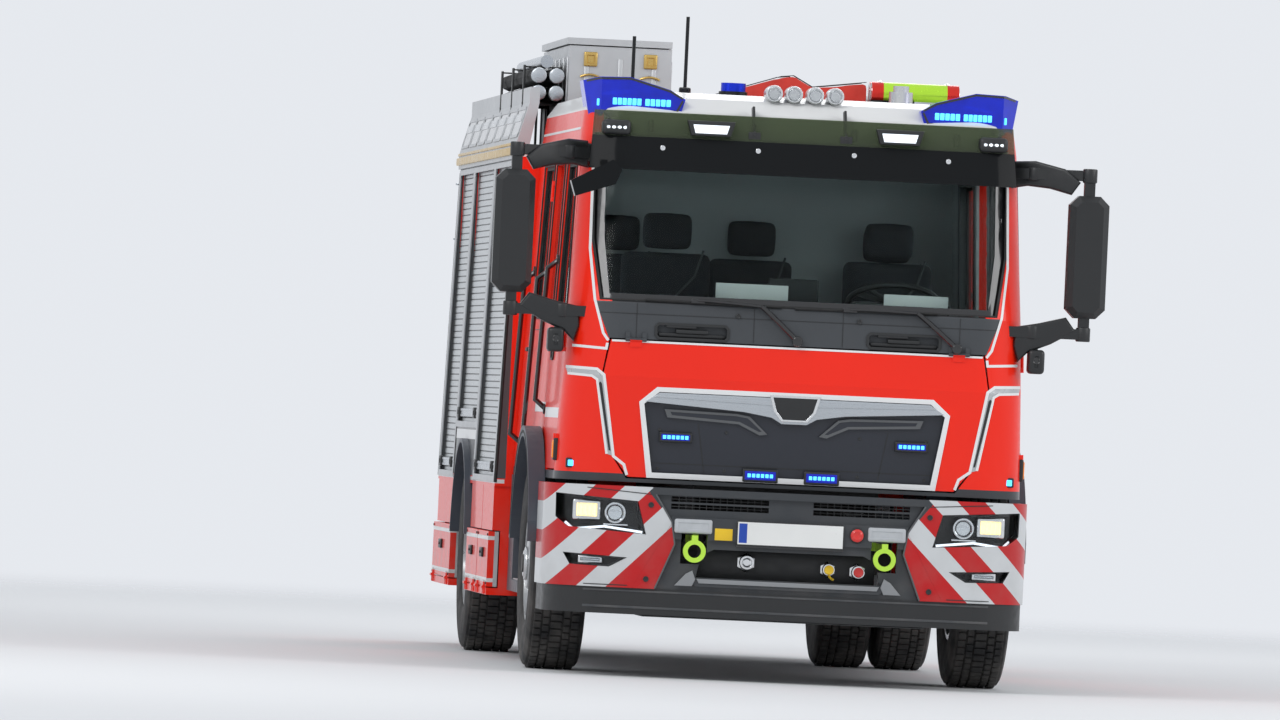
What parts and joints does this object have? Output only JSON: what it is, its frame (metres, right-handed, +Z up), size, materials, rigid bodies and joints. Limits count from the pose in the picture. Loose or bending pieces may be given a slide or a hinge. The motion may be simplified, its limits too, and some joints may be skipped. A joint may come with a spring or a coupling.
{
  "type": "fire engine",
  "caption": "Two-axle fire engine with a crew cab, roller-shutter lockers, step flaps, roof box, ladder and blue warning lights.",
  "frame": {"origin": "on the ground, under the middle of the vehicle", "axes": "+Z up, the front faces -Y, +X towards the vehicle's left"},
  "size_m": [3.04, 7.8808, 3.2898],
  "materials": {
    "red_paint": "gloss",
    "white_paint": "gloss",
    "chassis_paint": "satin",
    "cast_axle": "satin",
    "lime_paint": "gloss",
    "dark_plastic": "grained",
    "smoked_plastic": "gloss",
    "clear_lens": "clear",
    "blue_lens": "clear",
    "glass": "clear",
    "tyre": "matt",
    "rim_metal": "satin",
    "aluminium_slats": "satin",
    "aluminium_sheet": "satin",
    "plate_sheet": "gloss",
    "seat_fabric": "woven",
    "cover_fabric": "woven",
    "chrome": "polished"
  },
  "bodies": {
    "vehicle": {"chassis_frame": "chassis_paint", "front_axle": "cast_axle", "rear_axle": "cast_axle", "powertrain": "cast_axle", "tanks": "aluminium_sheet", "front_bumper": "red_paint", "front_skirt": "dark_plastic", "lamps": "clear_lens", "number_plates": "plate_sheet", "tow_points": "lime_paint", "mudguards": "dark_plastic", "rear_bumper": "chassis_paint", "cab_shell": "red_paint", "cab_glass": "glass", "cowl": "dark_plastic", "sun_visor": "smoked_plastic", "dashboard": "dark_plastic", "seats": "seat_fabric", "mirrors": "dark_plastic", "warning_lights": "blue_lens", "roof_equipment": "chrome", "roof_cover": "cover_fabric", "body_shell": "red_paint", "body_base": "aluminium_sheet", "low_lockers_left": "red_paint", "low_lockers_right": "red_paint", "shutters": "aluminium_slats", "roof_gallery": "white_paint", "roof_box": "aluminium_sheet", "ladders": "aluminium_sheet"},
    "roof_box_lid": {"roof_box_lid": "aluminium_sheet"},
    "front_flap": {"front_flap": "red_paint", "grille": "dark_plastic"},
    "door_front_left": {"door_front_left": "red_paint", "glass_front_left": "glass"},
    "door_crew_left": {"door_crew_left": "red_paint", "glass_crew_left": "glass"},
    "knuckle_left": {"knuckle_left": "cast_axle"},
    "wheel_front_left": {"tyre_front_left": "tyre", "rim_front_left": "rim_metal"},
    "wheels_rear_left": {"tyres_rear_left": "tyre", "rims_rear_left": "rim_metal"},
    "step_front_left": {"step_front_left": "red_paint"},
    "step_middle_left": {"step_middle_left": "red_paint"},
    "step_rear_left": {"step_rear_left": "red_paint"},
    "door_front_right": {"door_front_right": "red_paint", "glass_front_right": "glass"},
    "door_crew_right": {"door_crew_right": "red_paint", "glass_crew_right": "glass"},
    "knuckle_right": {"knuckle_right": "cast_axle"},
    "wheel_front_right": {"tyre_front_right": "tyre", "rim_front_right": "rim_metal"},
    "wheels_rear_right": {"tyres_rear_right": "tyre", "rims_rear_right": "rim_metal"},
    "step_front_right": {"step_front_right": "red_paint"},
    "step_middle_right": {"step_middle_right": "red_paint"},
    "step_rear_right": {"step_rear_right": "red_paint"}
  },
  "joints": [
    {"name": "door_front_left_hinge", "type": "hinge", "parent": "vehicle", "child": "door_front_left", "pos_m": [1.16047, -3.591, 1.15038], "axis": [0.0433, 0, -0.9991], "range_deg": [0, 75]},
    {"name": "door_crew_left_hinge", "type": "hinge", "parent": "vehicle", "child": "door_crew_left", "pos_m": [1.16047, -1.901, 1.15038], "axis": [0.0433, 0, -0.9991], "range_deg": [0, 80]},
    {"name": "steering_left", "type": "hinge", "parent": "vehicle", "child": "knuckle_left", "pos_m": [0.85, -2.525, 0.522], "axis": [0, 0, 1], "range_deg": [-35, 35]},
    {"name": "wheel_front_left_spin", "type": "hinge", "parent": "knuckle_left", "child": "wheel_front_left", "pos_m": [1.063, -2.525, 0.522], "axis": [1, 0, 0], "continuous": true},
    {"name": "wheels_rear_left_spin", "type": "hinge", "parent": "vehicle", "child": "wheels_rear_left", "pos_m": [0.935, 1.725, 0.522], "axis": [1, 0, 0], "continuous": true},
    {"name": "step_front_left_hinge", "type": "hinge", "parent": "vehicle", "child": "step_front_left", "pos_m": [1.2767, -0.225, 0.369], "axis": [0, 1, 0], "range_deg": [0, 90]},
    {"name": "step_middle_left_hinge", "type": "hinge", "parent": "vehicle", "child": "step_middle_left", "pos_m": [1.2767, 0.575, 0.369], "axis": [0, 1, 0], "range_deg": [0, 90]},
    {"name": "step_rear_left_hinge", "type": "hinge", "parent": "vehicle", "child": "step_rear_left", "pos_m": [1.2767, 3.075, 0.369], "axis": [0, 1, 0], "range_deg": [0, 90]},
    {"name": "door_front_right_hinge", "type": "hinge", "parent": "vehicle", "child": "door_front_right", "pos_m": [-1.16047, -3.591, 1.15038], "axis": [0.0433, 0, 0.9991], "range_deg": [0, 75]},
    {"name": "door_crew_right_hinge", "type": "hinge", "parent": "vehicle", "child": "door_crew_right", "pos_m": [-1.16047, -1.901, 1.15038], "axis": [0.0433, 0, 0.9991], "range_deg": [0, 80]},
    {"name": "steering_right", "type": "hinge", "parent": "vehicle", "child": "knuckle_right", "pos_m": [-0.85, -2.525, 0.522], "axis": [0, 0, 1], "range_deg": [-35, 35]},
    {"name": "wheel_front_right_spin", "type": "hinge", "parent": "knuckle_right", "child": "wheel_front_right", "pos_m": [-1.063, -2.525, 0.522], "axis": [1, 0, 0], "continuous": true},
    {"name": "wheels_rear_right_spin", "type": "hinge", "parent": "vehicle", "child": "wheels_rear_right", "pos_m": [-0.935, 1.725, 0.522], "axis": [1, 0, 0], "continuous": true},
    {"name": "step_front_right_hinge", "type": "hinge", "parent": "vehicle", "child": "step_front_right", "pos_m": [-1.2767, -0.225, 0.369], "axis": [0, -1, 0], "range_deg": [0, 90]},
    {"name": "step_middle_right_hinge", "type": "hinge", "parent": "vehicle", "child": "step_middle_right", "pos_m": [-1.2767, 0.575, 0.369], "axis": [0, -1, 0], "range_deg": [0, 90]},
    {"name": "step_rear_right_hinge", "type": "hinge", "parent": "vehicle", "child": "step_rear_right", "pos_m": [-1.2767, 3.075, 0.369], "axis": [0, -1, 0], "range_deg": [0, 90]},
    {"name": "front_flap_hinge", "type": "hinge", "parent": "vehicle", "child": "front_flap", "pos_m": [0, -3.8501, 1.662], "axis": [-1, 0, 0], "range_deg": [0, 80]},
    {"name": "roof_box_lid_hinge", "type": "hinge", "parent": "vehicle", "child": "roof_box_lid", "pos_m": [-0.4113, 0.525, 3.183], "axis": [0, 1, 0], "range_deg": [0, 100]}
  ],
  "couplings": [
    {"joint": "steering_right", "follows": "steering_left", "ratio": 1}
  ]
}
